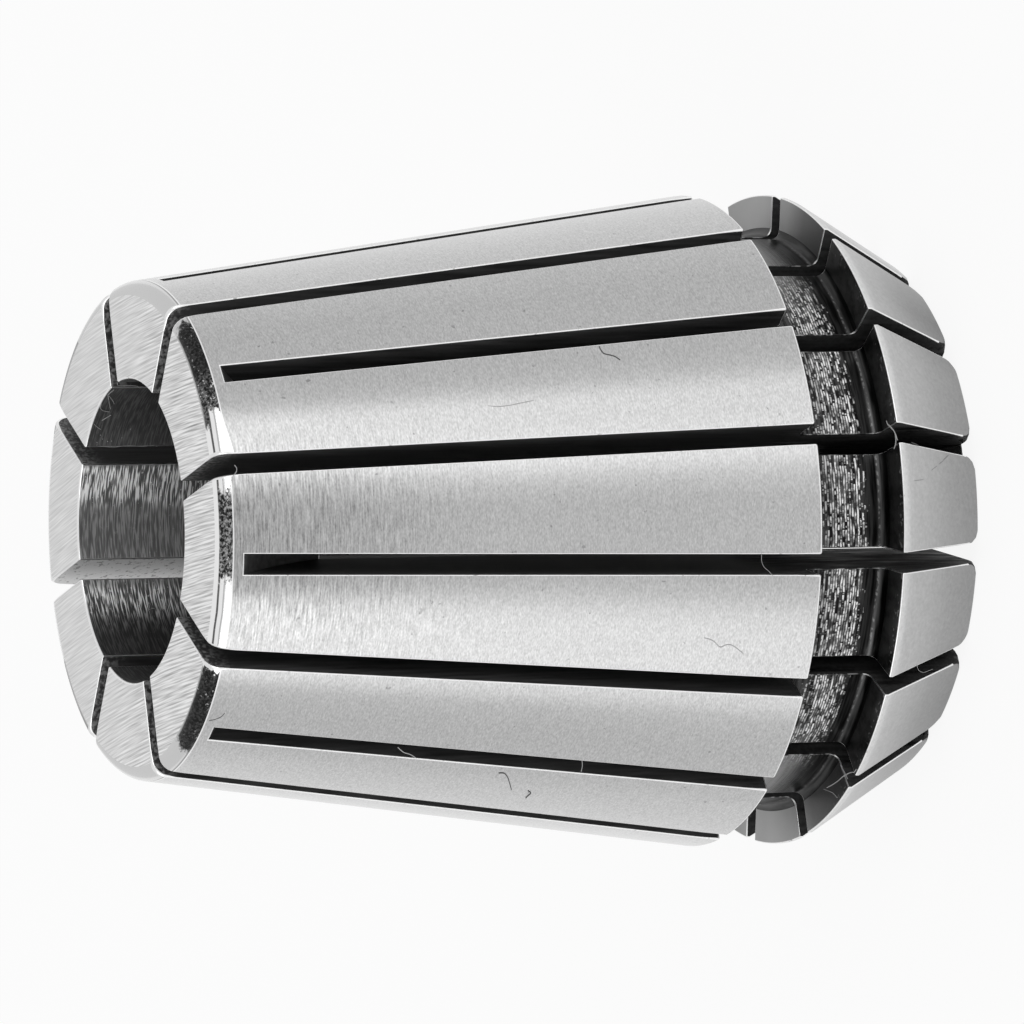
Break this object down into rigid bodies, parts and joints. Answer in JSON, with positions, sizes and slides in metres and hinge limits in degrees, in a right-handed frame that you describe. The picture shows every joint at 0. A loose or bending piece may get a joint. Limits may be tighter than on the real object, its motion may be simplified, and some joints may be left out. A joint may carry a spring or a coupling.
{
  "type": "spring collet",
  "caption": "Slotted taper sleeve with a round bore, an extraction groove and a short nose cone, squeezed shut by a nut to grip a round tool shank.",
  "frame": {"origin": "centre of the nose face, on the bore axis; the collet stands on this face", "axes": "+Z along the bore axis from the nose face to the small end; +X through the middle of a slot sawn from the nose"},
  "size_m": [0.033, 0.033, 0.04],
  "materials": {
    "steel": "ground taper and end face, turned groove, unsealed slots"
  },
  "bodies": {
    "root": {"collet": "steel"}
  },
  "joints": []
}
